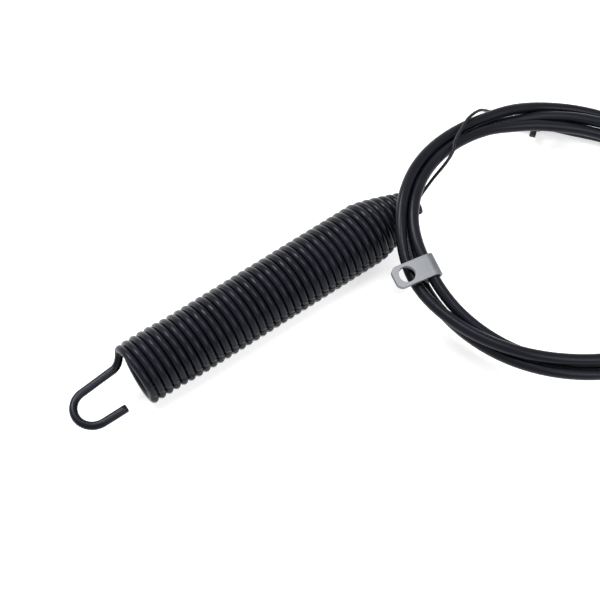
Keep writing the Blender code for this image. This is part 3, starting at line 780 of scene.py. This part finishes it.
class CABLE_OT_end_fitting(bpy.types.Operator):
    """Mould the fitting on the spring's end of the conduit, with its collar and snap ears"""

    bl_idname = "cable.end_fitting"
    bl_label = "End fitting"

    def execute(self, context):
        sizes = context.scene.cable_sizes
        material = get_material("nylon_moulded_black", moulded_material)
        start, _end = conduit_ends(sizes)
        heading = fitting_heading()
        back = start - heading * sizes.fitting_socket
        outer = sizes.fitting_d / 2
        socket = sizes.conduit_d / 2 + SOCKET_CLEARANCE
        bore = sizes.wire_d / 2 + BORE_CLEARANCE
        floor = sizes.fitting_socket + 0.0003
        length = sizes.fitting_length
        waist = outer - WAIST_DEPTH
        profile = (
            (0.0, socket), (floor, socket), (floor, bore), (length - 0.0006, bore), (length, bore + 0.0005),
            (length, outer - 0.0010), (length - 0.0003, outer - 0.0004), (length - 0.0009, outer - 0.0002),
            (length * 0.62, outer - 0.0001), (length * 0.60, outer), (length * 0.53, outer),
            (length * 0.52, waist), (length * 0.44, waist), (length * 0.43, outer),
            (0.0009, outer), (0.0003, outer - 0.0002), (0.0, outer - 0.0006),
        )
        fitting = turned("end_fitting", profile, back, heading, UP, material)
        reach = sizes.ear_span / 2 - (socket + outer) / 2
        for sign in (1.0, -1.0):
            side = heading.cross(UP) * sign
            middle = back + heading * EAR_FROM_END + side * ((socket + outer) / 2 + reach / 2)
            ear = block("ear", (EAR_WIDTH, reach, EAR_THICKNESS), middle, heading, side, material,
                        EAR_ROUNDING)
            fitting = combine(fitting, ear, "UNION")
        shade(fitting)
        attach(fitting, "conduit")
        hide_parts("spring_end_fitting")
        return {"FINISHED"}


class CABLE_OT_ferrule(bpy.types.Operator):
    """Turn the ferrule at the lever's end and press its crimp rings"""

    bl_idname = "cable.ferrule"
    bl_label = "Ferrule"

    def execute(self, context):
        sizes = context.scene.cable_sizes
        material = turned_steel()
        _start, end = conduit_ends(sizes)
        heading = lever_heading(sizes)
        back = end - heading * sizes.ferrule_socket
        outer = sizes.ferrule_d / 2
        nose = sizes.nose_d / 2
        socket = sizes.conduit_d / 2 + SOCKET_CLEARANCE
        bore = sizes.wire_d / 2 + BORE_CLEARANCE
        body = sizes.ferrule_length
        length = body + sizes.nose_length
        profile = [(0.0, socket), (sizes.ferrule_socket, socket), (sizes.ferrule_socket, bore),
                   (length - 0.0004, bore), (length, bore + 0.0003), (length, nose - 0.0005),
                   (length - 0.0002, nose - 0.0001), (length - 0.0006, nose), (body, nose),
                   (body, outer - 0.0004), (body - 0.0004, outer)]
        for ring in CRIMP_PLACES:
            for step in range(CRIMP_STEPS + 1):
                share = step / CRIMP_STEPS
                dip = CRIMP_DEPTH * math.sin(math.pi * share)**2
                profile.append((ring - CRIMP_HALF_WIDTH * (share * 2 - 1), outer - dip))
        profile += [(0.0005, outer), (0.0001, outer - 0.0002), (0.0, outer - 0.0005)]
        ferrule = turned("ferrule", profile, back, heading, UP, material)
        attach(ferrule, "conduit")
        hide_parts("lever_end_ferrule")
        points = conduit_points(sizes)
        return {"FINISHED"}


class CABLE_OT_barrel(bpy.types.Operator):
    """Cast the barrel on the wire's end at the lever"""

    bl_idname = "cable.barrel"
    bl_label = "Barrel"

    def execute(self, context):
        sizes = context.scene.cable_sizes
        material = turned_steel()
        _start, end = conduit_ends(sizes)
        heading = lever_heading(sizes)
        middle = end + heading * (sizes.ferrule_length + sizes.nose_length - sizes.ferrule_socket
                                  + sizes.wire_out)
        radius = sizes.barrel_d / 2
        half = sizes.barrel_length / 2
        profile = ((-half, 0.0), (-half, radius - 0.0006), (-half + 0.0002, radius - 0.0002),
                   (-half + 0.0006, radius), (-0.0003, radius), (0.0, radius - 0.00012), (0.0003, radius),
                   (half - 0.0006, radius), (half - 0.0002, radius - 0.0002), (half, radius - 0.0006),
                   (half, 0.0))
        barrel = turned("barrel", profile, middle, heading.cross(UP), UP, material)
        hole = rod("hole", sizes.wire_d / 2 + BARREL_HOLE_CLEARANCE, BARREL_HOLE_LENGTH,
                   middle - heading * BARREL_HOLE_BACK, heading, UP, material)
        barrel = combine(barrel, hole, "DIFFERENCE")
        soften_edges(barrel, 0.0001, 40)
        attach(barrel, "lever_wire")
        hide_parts("wire_end_barrel")
        return {"FINISHED"}


class CABLE_OT_clip(bpy.types.Operator):
    """Fold the P-clip from strip and pierce its ends"""

    bl_idname = "cable.clip"
    bl_label = "P-clip"

    def execute(self, context):
        sizes = context.scene.cable_sizes
        material = get_material("steel_strip_zinc_plated", zinc_material, "steel_strip_zinc_plated", "75777A",
                                "6C6D71", 0.46, 0.56)
        before = coil_point(sizes, CLIP_STATION - CLIP_HALF_REACH)
        after = coil_point(sizes, CLIP_STATION + CLIP_HALF_REACH)
        along = (before - after).normalized()
        middle = ((before + after) / 2 + coil_point(sizes, CLIP_STATION)) / 2
        outward = along.cross(UP).normalized()
        up = outward.cross(along)
        thick = sizes.strap_thickness
        mean = sizes.conduit_d / 2 + CLIP_CLEARANCE + thick / 2
        tab_end = CLIP_HOLE_FROM_CONDUIT + CLIP_END_FROM_HOLE
        bend = CLIP_FOLD_RADIUS
        lower = mean - thick - STRAP_LAYER_GAP
        close = math.asin((lower - bend) / (mean + bend))
        path = [(tab_end, mean), (tab_end / 2, mean), (0.0, mean)]
        for step in range(1, CLIP_LOOP_STEPS + 1):
            angle = math.pi / 2 + (3 * math.pi / 2 + close) * step / CLIP_LOOP_STEPS
            path.append((mean * math.cos(angle), mean * math.sin(angle)))
        for step in range(1, CLIP_FOLD_STEPS + 1):
            angle = math.pi + close - (math.pi / 2 + close) * step / CLIP_FOLD_STEPS
            path.append(((mean + bend) * math.cos(close) + bend * math.cos(angle),
                         (mean + bend) * math.sin(close) + bend * math.sin(angle)))
        path.append((tab_end, path[-1][1]))
        half = sizes.strap_width / 2
        bm = bmesh.new()
        line = [bm.verts.new((x, -half, z)) for x, z in path]
        edges = [bm.edges.new(pair) for pair in zip(line, line[1:])]
        made = bmesh.ops.extrude_edge_only(bm, edges=edges)["geom"]
        moved = [item for item in made if isinstance(item, bmesh.types.BMVert)]
        bmesh.ops.translate(bm, vec=(0.0, 2 * half, 0.0), verts=moved)
        corners = [vert for vert in bm.verts if abs(vert.co.x - tab_end) < 1e-6]
        bmesh.ops.bevel(bm, geom=corners, offset=CLIP_CORNER, offset_type="OFFSET",
                        segments=CLIP_CORNER_STEPS, profile=0.5, affect="VERTICES", material=-1)
        bm.transform(Matrix.Translation(middle) @ Matrix((outward, along, up)).transposed().to_4x4())
        clip = mesh_piece("clip", bm, material)
        wall = clip.modifiers.new("strip", "SOLIDIFY")
        wall.thickness = thick
        wall.offset = 0.0
        clip = baked(clip, "clip")
        bm = bmesh.new()
        bm.from_mesh(clip.data)
        bmesh.ops.recalc_face_normals(bm, faces=bm.faces)
        bm.to_mesh(clip.data)
        bm.free()
        hole_middle = middle + outward * CLIP_HOLE_FROM_CONDUIT + up * mean
        hole = rod("hole", sizes.clip_hole_d / 2, thick * 6, hole_middle, up, along, material, 64)
        clip = combine(clip, hole, "DIFFERENCE")
        soften_edges(clip, 0.00014, 45)
        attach(clip, "clip")
        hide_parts("p_clip")
        return {"FINISHED"}


class CABLE_OT_stop(bpy.types.Operator):
    """Give the stop inside the cone its zinc plate"""

    bl_idname = "cable.stop"
    bl_label = "Stop"

    def execute(self, context):
        for slot in bpy.data.objects["wire_end_stop"].material_slots:
            slot.material = turned_steel()
        return {"FINISHED"}


def seen_rays(tree):
    """One where a camera, glossy or transmission ray looks, so that metal shows the white too."""
    path = add_node(tree, "ShaderNodeLightPath")
    seen = add_node(tree, "ShaderNodeMath", {"operation": "MAXIMUM"},
                    {0: path.outputs["Is Camera Ray"], 1: path.outputs["Is Glossy Ray"]})
    seen = add_node(tree, "ShaderNodeMath", {"operation": "MAXIMUM"},
                    {0: seen.outputs[0], 1: path.outputs["Is Transmission Ray"]})
    return seen.outputs[0]


class CABLE_OT_stage(bpy.types.Operator):
    """Lay the pale floor, hang the soft lamps and set the camera"""

    bl_idname = "cable.stage"
    bl_label = "Stage"

    def execute(self, context):
        bm = bmesh.new()
        bmesh.ops.create_grid(bm, x_segments=1, y_segments=1, size=3.0)
        mesh = bpy.data.meshes.new("floor")
        bm.to_mesh(mesh)
        bm.free()
        material, tree = new_material("floor_paper_white")
        diffuse = add_node(tree, "ShaderNodeBsdfDiffuse", inputs={"Color": (0.80, 0.80, 0.80, 1.0)})
        place = add_node(tree, "ShaderNodeTexCoord")
        away = add_node(tree, "ShaderNodeVectorMath", {"operation": "LENGTH"}, {0: place.outputs["Object"]})
        white = add_node(tree, "ShaderNodeMapRange", inputs={"Value": away.outputs["Value"],
                         **FLOOR_GLOW})
        strength = add_node(tree, "ShaderNodeMath", {"operation": "MULTIPLY"},
                            {0: seen_rays(tree), 1: white.outputs[0]})
        glow = add_node(tree, "ShaderNodeEmission", inputs={"Color": WHITE,
                        "Strength": strength.outputs[0]})
        both = add_node(tree, "ShaderNodeAddShader", inputs={0: diffuse.outputs[0], 1: glow.outputs[0]})
        finish_material(tree, both)
        floor = link("floor", mesh, material)

        world = bpy.data.worlds.new("studio")
        world.use_nodes = True
        world.node_tree.nodes.clear()
        air = world.node_tree
        strength = add_node(air, "ShaderNodeMapRange", inputs={"Value": seen_rays(air), "To Min": WORLD_LIGHT,
                            "To Max": 1.0})
        sky = add_node(air, "ShaderNodeBackground", inputs={"Color": WHITE,
                       "Strength": strength.outputs[0]})
        add_node(air, "ShaderNodeOutputWorld", inputs={"Surface": sky.outputs[0]})
        context.scene.world = world

        target = Vector(CAMERA_TARGET)
        lamps = (
            ("key", (-0.55, 0.45, 0.80), 0.50, 0.30, 9.0),
            ("fill", (0.60, -0.45, 0.75), 0.60, 0.60, 5.0),
            ("top", (0.00, 0.10, 1.05), 0.50, 0.20, 5.0),
        )
        for name, place, width, depth, power in lamps:
            lamp = bpy.data.lights.new(name, "AREA")
            lamp.shape = "RECTANGLE"
            lamp.size = width
            lamp.size_y = depth
            lamp.energy = power
            obj = bpy.data.objects.new(name, lamp)
            context.scene.collection.objects.link(obj)
            obj.location = place
            obj.rotation_euler = (target - Vector(place)).to_track_quat("-Z", "Y").to_euler()

        camera = bpy.data.cameras.new("camera")
        camera.lens = CAMERA_LENS
        camera.sensor_width = 36.0
        camera.clip_start = 0.01
        holder = bpy.data.objects.new("camera", camera)
        context.scene.collection.objects.link(holder)
        holder.location = CAMERA_PLACE
        holder.rotation_euler = (target - Vector(CAMERA_PLACE)).to_track_quat("-Z", "Y").to_euler()
        context.scene.camera = holder
        context.scene.view_settings.view_transform = "Standard"
        return {"FINISHED"}


class CABLE_PT_panel(bpy.types.Panel):
    """Lists the cable's sizes, colours and pieces"""

    bl_idname = "CABLE_PT_panel"
    bl_label = "Control Cable"
    bl_space_type = "VIEW_3D"
    bl_region_type = "UI"
    bl_category = "Control Cable"

    def draw(self, context):
        for group in (context.scene.cable_sizes, context.scene.cable_colours):
            for name in group.__annotations__:
                self.layout.prop(group, name)
        for operator in OPERATORS:
            self.layout.operator(operator.bl_idname)


OPERATORS = (CABLE_OT_stage, CABLE_OT_conduit, CABLE_OT_spring, CABLE_OT_wires, CABLE_OT_end_fitting,
             CABLE_OT_ferrule, CABLE_OT_barrel, CABLE_OT_clip, CABLE_OT_stop)
CLASSES = (CableSizes, CableColours, *OPERATORS, CABLE_PT_panel)


def register():
    for cls in CLASSES:
        bpy.utils.register_class(cls)
    bpy.types.Scene.cable_sizes = PointerProperty(type=CableSizes)
    bpy.types.Scene.cable_colours = PointerProperty(type=CableColours)


def unregister():
    del bpy.types.Scene.cable_colours
    del bpy.types.Scene.cable_sizes
    for cls in reversed(CLASSES):
        bpy.utils.unregister_class(cls)


def main():
    register()
    bpy.ops.cable.stage()
    bpy.ops.cable.conduit()
    bpy.ops.cable.spring()
    bpy.ops.cable.wires()
    bpy.ops.cable.end_fitting()
    bpy.ops.cable.ferrule()
    bpy.ops.cable.barrel()
    bpy.ops.cable.clip()
    bpy.ops.cable.stop()


if __name__ == "__main__":
    main()
